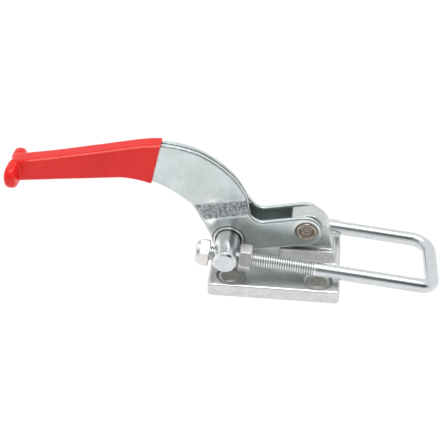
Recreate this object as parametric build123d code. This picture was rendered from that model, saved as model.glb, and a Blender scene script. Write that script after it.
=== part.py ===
from build123d import *
import os
from math import sin, cos, tan, radians, degrees, atan2, hypot, sqrt, pi

# Over centre toggle latch with a U-bolt.  Millimetres.
# +X runs from the handle's end to the loop, +Y goes across the latch (one
# side is called near, -Y, the other far, +Y) and +Z is up.  The origin is the
# centre of the four mounting holes, on the underside of the base.
os.makedirs("parts", exist_ok=True)

# ---------------------------------------------------------------- dimensions
# base forging
PLATE_L = 69.0          # along X
PLATE_Y0, PLATE_Y1 = -31.0, 32.6    # near and far edges; the far side is a little deeper
PLATE_T = 7.85
PLATE_CORNER_R = 2.3    # plan corners
PLATE_TOP_R = 0.9       # top edge rounding
PLATE_BOTTOM_R = 0.6    # bottom edge rounding
HOLE_X = 46.0           # hole spacing along X
HOLE_Y = 45.0           # hole spacing along Y
HOLE_D = 8.8
DISH_D = 14.8           # shallow seat round each hole
DISH_FLOOR_D = 13.0
DISH_DEPTH = 0.7
PED_X0 = 2.1            # pedestal, under the nose block
PED_X1_TOP = 30.9
PED_X1_FOOT = 31.9
PED_TOP = 15.7          # height of the ledges that stop the arms
NOSE_X0 = 7.2           # nose block, between the arms
NOSE_CX, NOSE_CZ, NOSE_R = 16.6, 25.7, 10.9
NOSE_LEFT_TOP = 34.9
NOSE_LEAN = 12.4        # degrees, lean of the loop-side face

# pivot
PIVOT_X, PIVOT_Z = 15.5, 28.4
RIVET_D = 9.5
RUN_CLEAR = 0.05        # radial clearance of a running fit
RIM_D = 11.7            # rolled rim of the rivet
RIM_H = 1.1
RIM_HOLE_D = 7.0
RIM_HOLE_DEPTH = 1.5

# handle plates
SHEET = 3.0
ARM_GAP = 9.6           # between the arms' inside faces
NOSE_W = ARM_GAP - 0.2
PED_W = ARM_GAP + 2 * SHEET
BEND_LEAN = 10.9        # degrees, slope of the two bend lines
BEND_X, BEND_Z = -30.0, 41.0
BEND_RUN = 7.15         # distance between the two bend lines
BEND_OUT_R = (1.2, 1.6)     # coined bends, outside face: at the handle, at the arm
BEND_IN_R = (3.5, 0.9)      # inside face
ARM_SLOPE = 11.7        # degrees, slope of the arm's edges
END_X, END_Z, END_R = 14.6, 27.8, 9.05   # round end of the arm
LOBE_R = 9.1            # arm's outline round the shaft
HEEL_R = 7.0            # inside corner between arm and handle
TOP_PTS = [(-66.0, 72.7), (-60.5, 73.75), (-56.0, 73.65), (-50.5, 72.65),
           (-45.8, 71.4), (-40.8, 69.45), (-35.5, 66.4), (-30.6, 62.75),
           (-25.4, 57.95), (-20.0, 50.9), (-16.5, 44.1), (-15.1, 39.3)]
LOW_PTS = [(-37.3, 26.3), (-40.5, 32.4), (-44.1, 36.6), (-47.6, 39.7),
           (-53.7, 44.6), (-59.8, 48.5), (-66.5, 51.4), (-74.5, 53.4),
           (-84.0, 54.1)]
TAIL_X = -140.9         # end of the steel, under the grip
TAIL_TOP_Z, TAIL_LOW_Z = 57.7, 48.5
EAR_Z = 53.3            # T end: half of it is bent out of each plate
EAR_Y = 8.2
EAR_R = 4.55
EAR_BEND_R = 4.0        # outside of the bend

# grip
VINYL = 1.5
GRIP_MOUTH_TOP = (-60.3, 74.75)
GRIP_MOUTH_LOW = (-66.4, 50.3)
GRIP_LOW = 1.0          # vinyl along the lower edge near the mouth
TEE_EDGE_R = 2.3        # the T end is fully rounded
GRIP_TOP_PTS = [(-115.6, 64.2), (-104.7, 66.5), (-93.8, 68.8), (-83.0, 71.15),
                (-72.4, 73.4), (-67.2, 74.25), (-62.4, 74.7)]
GRIP_EDGE_R = 1.5

# rivets that join the plates under the grip
HRIVET_D = 5.0
HRIVETS = {"front": (-79.0, 62.0), "rear": (-118.0, 56.0)}

# cross shaft, and the flanged bushes it turns in
SHAFT_X, SHAFT_Z = -25.6, 20.1
SHAFT_D = 13.0
SHAFT_L = 52.3
SHAFT_CHAMFER = 1.25
SIDE_FLOAT = -2.3       # the shaft and the U-bolt sit this far to the near side
BUSH_D = 14.6
FLANGE_D = 16.0
FLANGE_T = 0.6

# U-bolt
TILT = 6.62             # degrees, the legs slope down to the loop
LEG_Y = 19.0            # half the leg spacing
BAR_D = 7.4
THREAD_D = 7.8
LEG_HOLE_D = 8.5        # cross holes in the shaft
TAIL_S = -15.2          # free end of the legs, from the shaft's axis
THREAD_S = 47.4         # end of the thread
BAR_S = 108.9           # axis of the cross bar of the loop
BEND_NEAR = 6.2         # bend radii on the bar's axis, the far bend is slacker
BEND_FAR = 9.5

# nuts, M8
NUT_AF = 13.0
NUT_H = 6.5
NUT_S = 6.95            # loop-side nut starts here
LOCK_HEX_H = 5.0
LOCK_H = 7.0
LOCK_S = -8.7           # lock nut's face towards the shaft
LOCK_COLLAR_D = 12.0
INSERT_D = 10.4
INSERT_H = 2.1


def xz(pt, y=0.0):
    return Vector(pt[0], y, pt[1])


def prism(sketch, y0, y1):
    """Extrude a sketch drawn on Plane.XZ from y0 to y1."""
    solid = extrude(sketch, amount=(y1 - y0))       # grows towards -Y
    return Pos(0, y1, 0) * solid


def box(x0, x1, y0, y1, z0, z1):
    return Pos((x0 + x1) / 2, (y0 + y1) / 2, (z0 + z1) / 2) * Box(x1 - x0, y1 - y0, z1 - z0)


def cyl_y(x, z, r, y0, y1):
    return Pos(x, (y0 + y1) / 2, z) * Rot(90, 0, 0) * Cylinder(r, y1 - y0)


# ---------------------------------------------------------------- base
def tangent_from(p, c, r, side):
    """Point where the tangent from p touches the circle (c, r)."""
    dx, dz = p[0] - c[0], p[1] - c[1]
    d = hypot(dx, dz)
    a = atan2(dz, dx)
    b = side * atan2(sqrt(d * d - r * r), r)
    return (c[0] + r * cos(a + b), c[1] + r * sin(a + b))


def make_base():
    plate = extrude(RectangleRounded(PLATE_L, PLATE_Y1 - PLATE_Y0, PLATE_CORNER_R), amount=PLATE_T)
    plate = Pos(0, (PLATE_Y0 + PLATE_Y1) / 2, 0) * plate
    plate = fillet(plate.edges().group_by(Axis.Z)[-1], PLATE_TOP_R)
    plate = fillet(plate.edges().group_by(Axis.Z)[0], PLATE_BOTTOM_R)

    low = PLATE_T - 1.0
    with BuildSketch(Plane.XZ) as ped_s:
        with BuildLine():
            Polyline((PED_X0, low), (PED_X0, PED_TOP), (PED_X1_TOP, PED_TOP),
                     (PED_X1_FOOT, low), close=True)
        make_face()
    ped = prism(ped_s.sketch, -PED_W / 2, PED_W / 2)
    ped = fillet(ped.edges().filter_by(Axis.Y).group_by(Axis.Z)[-1], 0.6)

    # nose block: flat run-up, round top, leaning loop-side face
    t0 = tangent_from((NOSE_X0, NOSE_LEFT_TOP), (NOSE_CX, NOSE_CZ), NOSE_R, -1)
    lean = radians(NOSE_LEAN)
    t1 = (NOSE_CX + NOSE_R * cos(lean), NOSE_CZ + NOSE_R * sin(lean))
    mid_a = (atan2(t0[1] - NOSE_CZ, t0[0] - NOSE_CX) + lean) / 2
    mid = (NOSE_CX + NOSE_R * cos(mid_a), NOSE_CZ + NOSE_R * sin(mid_a))
    foot = (t1[0] + (t1[1] - low) * tan(lean), low)
    with BuildSketch(Plane.XZ) as nose_s:
        with BuildLine():
            Line((NOSE_X0, low), (NOSE_X0, NOSE_LEFT_TOP))
            Line((NOSE_X0, NOSE_LEFT_TOP), t0)
            ThreePointArc(t0, mid, t1)
            Line(t1, foot)
            Line(foot, (NOSE_X0, low))
        make_face()
    nose = prism(nose_s.sketch, -NOSE_W / 2, NOSE_W / 2)
    corner = nose.edges().filter_by(Axis.Y).sort_by(
        lambda e: hypot(e.center().X - NOSE_X0, e.center().Z - NOSE_LEFT_TOP))[0]
    nose = fillet(corner, 1.6)

    body = plate + ped + nose
    # root radii between the nose and the ledges
    roots = [e for e in body.edges()
             if abs(e.center().Z - PED_TOP) < 0.01 and abs(abs(e.center().Y) - NOSE_W / 2) < 0.01
             and e.length > 10]
    body = fillet(roots, 1.0)
    # foot radius between the pedestal's sides and the plate
    feet = [e for e in body.edges()
            if abs(e.center().Z - PLATE_T) < 0.01 and abs(abs(e.center().Y) - PED_W / 2) < 0.01
            and e.length > 10]
    body = fillet(feet, 0.7)

    body -= cyl_y(PIVOT_X, PIVOT_Z, RIVET_D / 2 + RUN_CLEAR, -20, 20)
    for sx in (-1, 1):
        for sy in (-1, 1):
            at = Pos(sx * HOLE_X / 2, sy * HOLE_Y / 2, 0)
            body -= at * Pos(0, 0, PLATE_T / 2) * Cylinder(HOLE_D / 2, PLATE_T + 2)
            body -= at * Pos(0, 0, PLATE_T - DISH_DEPTH / 2) * Cone(
                DISH_FLOOR_D / 2, DISH_D / 2, DISH_DEPTH)
    return body


# ---------------------------------------------------------------- handle plates
def handle_profile():
    """Outline of one plate, seen from the side, as if not joggled."""
    m = radians(ARM_SLOPE)
    d = (cos(m), sin(m))            # along the arm
    n = (-sin(m), cos(m))           # up, square to the arm
    end = (END_X, END_Z)
    top_t = (end[0] + n[0] * END_R, end[1] + n[1] * END_R)
    low_t = (end[0] - n[0] * END_R, end[1] - n[1] * END_R)
    tip = (end[0] + d[0] * END_R, end[1] + d[1] * END_R)
    # heel: where the handle's steep edge meets the arm's top edge
    p = TOP_PTS[-1]
    sd = (0.30, -0.954)
    # intersection of p + a*sd with top_t + b*d
    det = sd[0] * (-d[1]) + sd[1] * d[0]
    rx, rz = top_t[0] - p[0], top_t[1] - p[1]
    a = (rx * (-d[1]) + rz * d[0]) / det
    heel = (p[0] + sd[0] * a, p[1] + sd[1] * a)
    turn = atan2(d[1], d[0]) - atan2(sd[1], sd[0])
    tl = HEEL_R * tan(turn / 2)
    h0 = (heel[0] - sd[0] * tl, heel[1] - sd[1] * tl)
    h1 = (heel[0] + d[0] * tl, heel[1] + d[1] * tl)
    # lobe round the shaft, tangent to a lower edge line of the arm
    lobe = (SHAFT_X, SHAFT_Z)
    t_low = tangent_from(low_t, lobe, LOBE_R, 1)
    if t_low[1] > SHAFT_Z:
        t_low = tangent_from(low_t, lobe, LOBE_R, -1)
    a_left = radians(193.0)
    l0 = (lobe[0] + LOBE_R * cos(a_left), lobe[1] + LOBE_R * sin(a_left))
    a_low = atan2(t_low[1] - lobe[1], t_low[0] - lobe[0]) % (2 * pi)
    am = (a_left + a_low) / 2
    lm = (lobe[0] + LOBE_R * cos(am), lobe[1] + LOBE_R * sin(am))
    with BuildSketch(Plane.XZ) as s:
        with BuildLine():
            Line((TAIL_X, TAIL_TOP_Z), TOP_PTS[0])
            Spline(*TOP_PTS, tangents=[(1, 0.198), sd])
            Line(p, h0)
            RadiusArc(h0, h1, -HEEL_R)
            Line(h1, top_t)
            ThreePointArc(top_t, tip, low_t)
            Line(low_t, t_low)
            ThreePointArc(t_low, lm, l0)
            Spline(l0, *LOW_PTS, tangents=[(-sin(a_left - pi) * 1.0, cos(a_left - pi)), (-1, -0.102)])
            Line(LOW_PTS[-1], (TAIL_X, TAIL_LOW_Z))
            Line((TAIL_X, TAIL_LOW_Z), (TAIL_X, TAIL_TOP_Z))
        make_face()
    return s.sketch


def bent_sheet():
    """The far plate's sheet, a wide ribbon with its two bends."""
    b = radians(BEND_LEAN)
    pl = Plane(origin=(BEND_X, 0, BEND_Z), x_dir=(sin(b), 0, -cos(b)), z_dir=(cos(b), 0, sin(b)))
    rise = ARM_GAP / 2
    alpha = atan2(rise, BEND_RUN)
    k = SHEET * tan(alpha / 2)
    with BuildSketch(pl) as s:
        with BuildLine():
            FilletPolyline((-90, SHEET), (0, SHEET), (BEND_RUN, rise + SHEET), (70, rise + SHEET),
                           radius=list(BEND_OUT_R))
            Line((70, rise + SHEET), (70, rise))
            FilletPolyline((70, rise), (BEND_RUN + k, rise), (k, 0), (-90, 0),
                           radius=[BEND_IN_R[1], BEND_IN_R[0]])
            Line((-90, 0), (-90, SHEET))
        make_face()
    return extrude(s.sketch, amount=150, both=True)


def make_plate():
    """The far handle plate."""
    flat = prism(handle_profile(), -1.0, 12.0)
    plate = bent_sheet() & flat
    # T end: the tail of the sheet is bent out square
    with BuildSketch(Plane.YZ) as ear_s:
        with BuildLine():
            Polyline((0, EAR_Z - EAR_R), (EAR_Y, EAR_Z - EAR_R), (EAR_Y, EAR_Z + EAR_R), (0, EAR_Z + EAR_R), close=True)
        make_face()
        with Locations((EAR_Y, EAR_Z)):
            Circle(EAR_R)
    ear = Pos(TAIL_X, 0, 0) * extrude(ear_s.sketch, amount=SHEET)
    plate = plate + ear
    # outside of the bend
    r = EAR_BEND_R
    plate -= box(TAIL_X - 1, TAIL_X + r, -1, r, 40, 70) - Pos(TAIL_X + r, r, 55) * Cylinder(r, 40)
    plate -= cyl_y(PIVOT_X, PIVOT_Z, RIVET_D / 2, -20, 20)
    plate -= cyl_y(SHAFT_X, SHAFT_Z, BUSH_D / 2, -20, 20)
    for x, z in HRIVETS.values():
        plate -= cyl_y(x, z, HRIVET_D / 2, -20, 20)
    return plate


# ---------------------------------------------------------------- rivets
def make_pivot_rivet():
    y = ARM_GAP / 2 + SHEET
    r = cyl_y(PIVOT_X, PIVOT_Z, RIVET_D / 2, -y, y)
    for s in (-1, 1):
        y0, y1 = (y, y + RIM_H) if s > 0 else (-y - RIM_H, -y)
        rim = cyl_y(PIVOT_X, PIVOT_Z, RIM_D / 2, y0, y1)
        outer = [e for e in rim.edges().filter_by(GeomType.CIRCLE) if abs(e.center().Y) > y + RIM_H / 2]
        rim = fillet(outer, 0.8)
        r = r + rim
    for s in (-1, 1):
        ya = y + RIM_H - RIM_HOLE_DEPTH
        yb = y + RIM_H + 1
        r -= cyl_y(PIVOT_X, PIVOT_Z, RIM_HOLE_D / 2, min(s * ya, s * yb), max(s * ya, s * yb))
    mouths = [e for e in r.edges().filter_by(GeomType.CIRCLE)
              if abs(abs(e.center().Y) - (y + RIM_H)) < 0.01 and abs(e.radius - RIM_HOLE_D / 2) < 0.01]
    return fillet(mouths, 0.6)


def make_handle_rivet(x, z):
    return cyl_y(x, z, HRIVET_D / 2, -SHEET, SHEET)


# ---------------------------------------------------------------- grip
def make_grip(steel):
    with BuildSketch(Plane.XZ) as s:
        with BuildLine():
            v = VINYL
            end = TAIL_X + 1.2
            Spline((end, TAIL_TOP_Z + v + 0.51), *GRIP_TOP_PTS, GRIP_MOUTH_TOP, tangents=[(1, 0.19), (1, 0.0)])
            Line(GRIP_MOUTH_TOP, GRIP_MOUTH_LOW)
            g = GRIP_LOW
            Spline(GRIP_MOUTH_LOW, (-74.6, 53.4 - g), (-84.0, 54.1 - g),
                   tangents=[(-1, 0.33), (-1, -0.102)])
            Line((-84.0, 54.1 - g), (end, TAIL_LOW_Z - v + 0.29))
            Line((end, TAIL_LOW_Z - v + 0.29), (end, TAIL_TOP_Z + v + 0.51))
        make_face()
    w = SHEET + VINYL
    body = prism(s.sketch, -w, w)
    long_edges = [e for e in body.edges() if abs(abs(e.center().Y) - w) < 0.01
                  and abs(e.center().X + 63.4) > 2.5]
    body = fillet(long_edges, GRIP_EDGE_R)
    # sleeve over the T end
    r = EAR_R + VINYL
    with BuildSketch(Plane.YZ) as ts:
        with Locations((0, EAR_Z)):
            SlotCenterToCenter(2 * EAR_Y, 2 * r)
    tee = Pos(TAIL_X - VINYL, 0, 0) * extrude(ts.sketch, amount=SHEET + 2 * VINYL)
    tee = fillet(tee.edges(), TEE_EDGE_R)
    grip = body + tee
    # groove where the two bends turn away from each other
    g = EAR_BEND_R
    with BuildSketch(Plane.XY) as gs:
        with BuildLine():
            x = TAIL_X - VINYL
            Polyline((x - 1, -g), (x, -g + 0.6), (x + 2.2, 0), (x, g - 0.6), (x - 1, g), close=True)
        make_face()
    grip -= Pos(0, 0, 40) * extrude(gs.sketch, amount=30)
    for part in steel:
        grip -= part
    return grip


# ---------------------------------------------------------------- shaft and bushes
def leg_axis():
    t = radians(TILT)
    return Vector(cos(t), 0, -sin(t))


def along(s, y=0.0):
    d = leg_axis()
    return Vector(SHAFT_X + d.X * s, y, SHAFT_Z + d.Z * s)


def leg_plane(s, y):
    """Plane square to a leg at distance s, its normal towards the loop."""
    return Plane(origin=along(s, y), x_dir=(0, 1, 0), z_dir=leg_axis())


def make_shaft():
    h = SHAFT_L / 2
    sh = cyl_y(SHAFT_X, SHAFT_Z, SHAFT_D / 2, -h, h)
    ends = [e for e in sh.edges().filter_by(GeomType.CIRCLE)]
    sh = chamfer(ends, SHAFT_CHAMFER)
    for s in (-1, 1):
        sh -= leg_plane(0, s * LEG_Y) * Cylinder(LEG_HOLE_D / 2, 40)
    return sh


def make_bush(side):
    """Flanged bush pressed into an arm from outside."""
    inner, outer = ARM_GAP / 2, ARM_GAP / 2 + SHEET
    a, b = sorted((side * inner, side * outer))
    c, d = sorted((side * outer, side * (outer + FLANGE_T)))
    flange = cyl_y(SHAFT_X, SHAFT_Z, FLANGE_D / 2, c, d)
    rim = [e for e in flange.edges().filter_by(GeomType.CIRCLE)
           if abs(e.arc_center.Y - side * (outer + FLANGE_T)) < 0.01]
    flange = fillet(rim, 0.35)
    bush = cyl_y(SHAFT_X, SHAFT_Z, BUSH_D / 2, a, b) + flange
    bush -= cyl_y(SHAFT_X, SHAFT_Z, SHAFT_D / 2 + RUN_CLEAR, -20, 20)
    return bush


# ---------------------------------------------------------------- U-bolt and nuts
def make_u_bolt():
    d = leg_axis()
    n0, n1 = along(TAIL_S, -LEG_Y), along(BAR_S - BEND_NEAR, -LEG_Y)
    f0, f1 = along(TAIL_S, LEG_Y), along(BAR_S - BEND_FAR, LEG_Y)
    c0, c1 = along(BAR_S, -LEG_Y + BEND_NEAR), along(BAR_S, LEG_Y - BEND_FAR)
    k, kf = BEND_NEAR * (1 - sqrt(0.5)), BEND_FAR * (1 - sqrt(0.5))
    m0 = along(BAR_S - k, -LEG_Y + k)
    m1 = along(BAR_S - kf, LEG_Y - kf)
    path = Wire([Edge.make_line(n0, n1), Edge.make_three_point_arc(n1, m0, c0),
                 Edge.make_line(c0, c1), Edge.make_three_point_arc(c1, m1, f1),
                 Edge.make_line(f1, f0)])
    section = leg_plane(TAIL_S, -LEG_Y) * Circle(BAR_D / 2)
    bar = sweep(section, path=path)
    for y in (-LEG_Y, LEG_Y):
        thread = leg_plane((TAIL_S + THREAD_S) / 2, y) * Cylinder(THREAD_D / 2, THREAD_S - TAIL_S)
        tail = [q for q in thread.edges().filter_by(GeomType.CIRCLE)
                if (q.arc_center - along(TAIL_S, y)).length < 0.1]
        thread = chamfer(tail, 0.7)
        bar = bar + thread
    return bar


def hexagon(h, turn):
    with BuildSketch() as s:
        RegularPolygon(NUT_AF / 2, 6, major_radius=False, rotation=turn)
    nut = extrude(s.sketch, amount=h)
    return nut


def nut_facets():
    """Cone-cut corners of a nut blank, as a tool to intersect with."""
    return NUT_AF * 0.5 / cos(radians(30))


def make_adjusting_nut(y):
    h = NUT_H
    nut = hexagon(h, 0)
    rc = nut_facets()
    cut = 0.9
    tool = (Pos(0, 0, h / 2) * Cylinder(rc + 0.01, h)
            & Pos(0, 0, h / 2) * Cylinder(rc + 1, h + 2))
    tool = chamfer(tool.edges().filter_by(GeomType.CIRCLE), length=cut * 0.58, length2=cut)
    nut = nut & tool
    nut -= Pos(0, 0, h / 2) * Cylinder(THREAD_D / 2, h + 2)
    # one flat square to the line that is 38 degrees above the -Y direction
    return leg_plane(NUT_S, y) * Rot(0, 0, NUT_TURN[1 if y > 0 else -1]) * nut


NUT_TURN = {-1: 57.0, 1: 81.7}
LOCK_TURN = {-1: 27.0, 1: 44.0}


def make_lock_nut(y):
    # local z runs from the free end towards the shaft
    rc = nut_facets()
    hexa = Pos(0, 0, LOCK_H - LOCK_HEX_H) * hexagon(LOCK_HEX_H, 0)
    tool = Pos(0, 0, LOCK_H / 2) * Cylinder(rc + 0.01, LOCK_H)
    tool = chamfer(tool.edges().filter_by(GeomType.CIRCLE).sort_by(Axis.Z)[-1], length=0.55, length2=0.9)
    hexa = hexa & tool
    collar = Pos(0, 0, (LOCK_H - LOCK_HEX_H + 1.0) / 2) * Cylinder(LOCK_COLLAR_D / 2, LOCK_H - LOCK_HEX_H + 1.0)
    collar = fillet(collar.edges().filter_by(GeomType.CIRCLE).sort_by(Axis.Z)[0], 1.3)
    nut = hexa + collar
    nut -= Pos(0, 0, LOCK_H / 2) * Cylinder(THREAD_D / 2, LOCK_H + 2)
    # seat of the nylon ring
    nut -= Pos(0, 0, 0.5 + INSERT_H / 2) * Cylinder(INSERT_D / 2, INSERT_H)
    nut -= Pos(0, 0, 0.25) * Cylinder(INSERT_D / 2 - 0.9, 1.5)
    return leg_plane(LOCK_S - LOCK_H, y) * Rot(0, 0, LOCK_TURN[1 if y > 0 else -1]) * nut


def make_lock_insert(y):
    ins = Pos(0, 0, 0.5 + INSERT_H / 2) * Cylinder(INSERT_D / 2, INSERT_H)
    ins -= Pos(0, 0, 1.5) * Cylinder(THREAD_D / 2, 6)
    return leg_plane(LOCK_S - LOCK_H, y) * ins


# ---------------------------------------------------------------- build and write
def build():
    parts = {}
    parts["base"] = make_base()
    far = make_plate()
    near = mirror(far, about=Plane.XZ)
    parts["handle_plate_near"] = near
    parts["handle_plate_far"] = far
    parts["pivot_rivet"] = make_pivot_rivet()
    rivets = []
    for name, (x, z) in HRIVETS.items():
        parts["handle_rivet_" + name] = make_handle_rivet(x, z)
        rivets.append(parts["handle_rivet_" + name])
    parts["grip"] = make_grip([near, far] + rivets)
    parts["shaft_bush_near"] = make_bush(-1)
    parts["shaft_bush_far"] = make_bush(1)
    aside = Pos(0, SIDE_FLOAT, 0)
    parts["trunnion_shaft"] = aside * make_shaft()
    parts["u_bolt"] = aside * make_u_bolt()
    for side, y in (("near", -LEG_Y), ("far", LEG_Y)):
        parts["adjusting_nut_" + side] = aside * make_adjusting_nut(y)
        parts["lock_nut_" + side] = aside * make_lock_nut(y)
        parts["lock_insert_" + side] = aside * make_lock_insert(y)
    return parts


def main():
    for name, shape in build().items():
        solids = shape.solids()
        out = solids[0] if len(solids) == 1 else Compound(children=list(solids))
        out.label = name
        export_step(out, "parts/%s.step" % name)
        bb = out.bounding_box()
        print("%-22s solids %d  volume %9.1f  x %.2f..%.2f  y %.2f..%.2f  z %.2f..%.2f  valid %s" % (
            name, len(solids), sum(q.volume for q in solids), bb.min.X, bb.max.X, bb.min.Y, bb.max.Y,
            bb.min.Z, bb.max.Z, out.is_valid))


main()
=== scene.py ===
import math
import bpy
import bmesh
import numpy as np
from math import sin, cos, tan, radians, degrees, pi, sqrt, atan2, hypot
from mathutils import Vector, Matrix, noise as mnoise
from mathutils.bvhtree import BVHTree
from mathutils.kdtree import KDTree


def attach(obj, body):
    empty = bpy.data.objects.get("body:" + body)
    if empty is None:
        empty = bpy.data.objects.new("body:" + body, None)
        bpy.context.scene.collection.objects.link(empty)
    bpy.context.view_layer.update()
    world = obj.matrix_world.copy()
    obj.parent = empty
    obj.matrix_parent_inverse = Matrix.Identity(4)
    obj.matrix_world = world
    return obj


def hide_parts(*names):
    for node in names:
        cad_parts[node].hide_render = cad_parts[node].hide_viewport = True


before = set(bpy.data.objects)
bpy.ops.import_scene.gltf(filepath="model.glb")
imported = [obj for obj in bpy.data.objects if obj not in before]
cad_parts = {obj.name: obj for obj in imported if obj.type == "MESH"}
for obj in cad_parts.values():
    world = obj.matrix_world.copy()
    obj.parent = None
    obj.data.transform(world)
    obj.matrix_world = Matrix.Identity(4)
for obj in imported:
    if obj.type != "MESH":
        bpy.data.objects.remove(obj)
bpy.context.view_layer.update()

MM = 0.001

# ------------------------------------------------------------------ sizes, mm
PIVOT = (15.5, 28.4)
SHAFT = (-25.6, 20.1)
SHAFT_R = 6.5
SIDE_FLOAT = -2.3        # the shaft and U-bolt sit to the near side
TILT = 6.62
LEG_Y = 19.0
BAR_R = 3.7
THREAD_R, THREAD_ROOT_R, PITCH = 3.93, 3.27, 1.25
TAIL_S, THREAD_S, BAR_S, BEND_NEAR, BEND_FAR = -15.2, 47.4, 108.9, 6.2, 9.5
NUT_AF, NUT_H, NUT_S = 13.0, 6.5, 6.95
LOCK_S, LOCK_H, LOCK_HEX_H, COLLAR_R = -8.7, 7.0, 5.0, 6.0
INSERT_R, INSERT_H = 5.2, 2.1
ARM_OUT = 7.8            # outside faces of the arms
RIM_R, RIM_H, RIM_HOLE_R, RIM_HOLE_DEPTH = 5.85, 1.1, 3.5, 1.5
BUSH_IN, BUSH_OUT, FLANGE_R, FLANGE_T = 6.55, 7.3, 8.0, 0.6

scene = bpy.context.scene


# ------------------------------------------------------------------ small tools
def link(obj):
    scene.collection.objects.link(obj)
    return obj


def mesh_object(name, verts, faces, smooth=True):
    """verts in millimetres."""
    me = bpy.data.meshes.new(name)
    me.from_pydata([tuple(c * MM for c in v) for v in verts], [], faces)
    me.validate()
    bm = bmesh.new()
    bm.from_mesh(me)
    bmesh.ops.remove_doubles(bm, verts=bm.verts, dist=1e-7)
    bmesh.ops.recalc_face_normals(bm, faces=bm.faces)
    bm.to_mesh(me)
    bm.free()
    if smooth:
        me.polygons.foreach_set("use_smooth", [True] * len(me.polygons))
    me.update()
    return link(bpy.data.objects.new(name, me))


def bake_modifiers(obj):
    """Applies every modifier of obj."""
    dg = bpy.context.evaluated_depsgraph_get()
    dg.update()
    made = bpy.data.meshes.new_from_object(obj.evaluated_get(dg), depsgraph=dg)
    old = obj.data
    obj.modifiers.clear()
    obj.data = made
    bpy.data.meshes.remove(old)
    return obj


def coords(me):
    co = np.empty(len(me.vertices) * 3, np.float32)
    me.vertices.foreach_get("co", co)
    return co.reshape(-1, 3).astype(float)


def set_coords(me, co):
    me.vertices.foreach_set("co", co.astype(np.float32).ravel())
    me.update()


def normals_of(me):
    n = np.empty(len(me.vertices) * 3, np.float32)
    me.vertices.foreach_get("normal", n)
    return n.reshape(-1, 3).astype(float)


def smoothstep(a, b, x):
    t = np.clip((x - a) / (b - a), 0, 1)     # a > b gives a falling step
    return t * t * (3 - 2 * t)


def fbm(points, scale_mm, seed, octaves=3):
    """Smooth noise in -1..1 at each point, points in metres."""
    out = np.zeros(len(points))
    off = Vector((seed * 7.31, seed * 3.77, seed * 5.13))
    k = 1.0 / (scale_mm * MM)
    for i, p in enumerate(points):
        q = Vector(p) * k + off
        v, a, f = 0.0, 1.0, 1.0
        for _ in range(octaves):
            v += a * mnoise.noise(q * f)
            a *= 0.5
            f *= 2.03
        out[i] = v
    return out


def cad_tree(node):
    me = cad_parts[node].data
    me.calc_loop_triangles()
    verts = [v.co.copy() for v in me.vertices]
    tris = [tuple(t.vertices) for t in me.loop_triangles]
    return BVHTree.FromPolygons(verts, tris, all_triangles=True)


def relax(me, rounds, weight):
    """Moves each vertex towards its neighbours' mean, by weight (0..1)."""
    co = coords(me)
    e = np.empty(len(me.edges) * 2, np.int32)
    me.edges.foreach_get("vertices", e)
    a, b = e.reshape(-1, 2).T
    count = np.bincount(np.concatenate((a, b)), minlength=len(co)).astype(float)
    count[count == 0] = 1
    for _ in range(rounds):
        s = np.zeros_like(co)
        for k in range(3):
            s[:, k] = np.bincount(a, co[b, k], len(co)) + np.bincount(b, co[a, k], len(co))
        co += (s / count[:, None] - co) * (0.5 * weight)[:, None]
    set_coords(me, co)


def softened(name, node, voxel, rounds, tol=0.03, extra=0, where=None):
    """A finer copy of a CAD node with worn edges. Flat and curved faces stay on
    the CAD surface; only the edges are rounded over, and more so (extra rounds)
    where the function where(points in mm) gives 1."""
    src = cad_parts[node]
    me = src.data.copy()
    me.materials.clear()
    bm = bmesh.new()
    bm.from_mesh(me)
    bmesh.ops.remove_doubles(bm, verts=bm.verts, dist=2e-6)
    bm.to_mesh(me)
    bm.free()
    obj = link(bpy.data.objects.new(name, me))
    r = obj.modifiers.new("remesh", "REMESH")
    r.mode = "VOXEL"
    r.voxel_size = voxel * MM
    r.adaptivity = 0
    r.use_smooth_shade = True
    s = obj.modifiers.new("smooth", "SMOOTH")
    s.factor = 0.5
    s.iterations = rounds
    bake_modifiers(obj)
    me = obj.data
    if extra:
        relax(me, extra, where(coords(me) / MM))
    tree = cad_tree(node)
    co = coords(me)
    for i in range(len(co)):
        loc, nrm, idx, dist = tree.find_nearest(Vector(co[i]))
        if loc is None:
            continue
        w = 1.0 - float(smoothstep(0.35 * tol * MM, tol * MM, np.float64(dist)))
        if w > 0:
            co[i] += (np.array(loc) - co[i]) * w
    set_coords(me, co)
    me.polygons.foreach_set("use_smooth", [True] * len(me.polygons))
    return obj


def edge_distance(node, co):
    """Distance in mm from each point (metres) to the CAD node's sharp edges."""
    bm = bmesh.new()
    bm.from_mesh(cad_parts[node].data)
    bmesh.ops.remove_doubles(bm, verts=bm.verts, dist=2e-6)
    pts = []
    for e in bm.edges:
        if len(e.link_faces) == 2 and e.calc_face_angle(0) > radians(50):
            a, b = e.verts[0].co, e.verts[1].co
            n = max(1, int((b - a).length / (0.25 * MM)))
            pts += [a.lerp(b, i / n) for i in range(n + 1)]
    bm.free()
    tree = KDTree(len(pts))
    for i, p in enumerate(pts):
        tree.insert(p, i)
    tree.balance()
    return np.array([tree.find(Vector(p))[2] for p in co]) / MM


def lathe_y(name, centre, profile, segments=96, wobble=None):
    """Revolves (r, y) points about the line along Y through centre (x, z)."""
    verts, faces = [], []
    n = len(profile)
    for k in range(segments):
        a = 2 * pi * k / segments
        for j, (r, y) in enumerate(profile):
            rr = r + (wobble(a, j, r, y) if wobble and r > 0 else 0)
            verts.append((centre[0] + rr * cos(a), y, centre[1] + rr * sin(a)))
    for k in range(segments):
        k2 = (k + 1) % segments
        for j in range(n - 1):
            a, b, c, d = k * n + j, k * n + j + 1, k2 * n + j + 1, k2 * n + j
            if profile[j][0] == 0:
                faces.append((a, b, c))
            elif profile[j + 1][0] == 0:
                faces.append((a, b, d))
            else:
                faces.append((a, b, c, d))
    return mesh_object(name, verts, faces)


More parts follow.
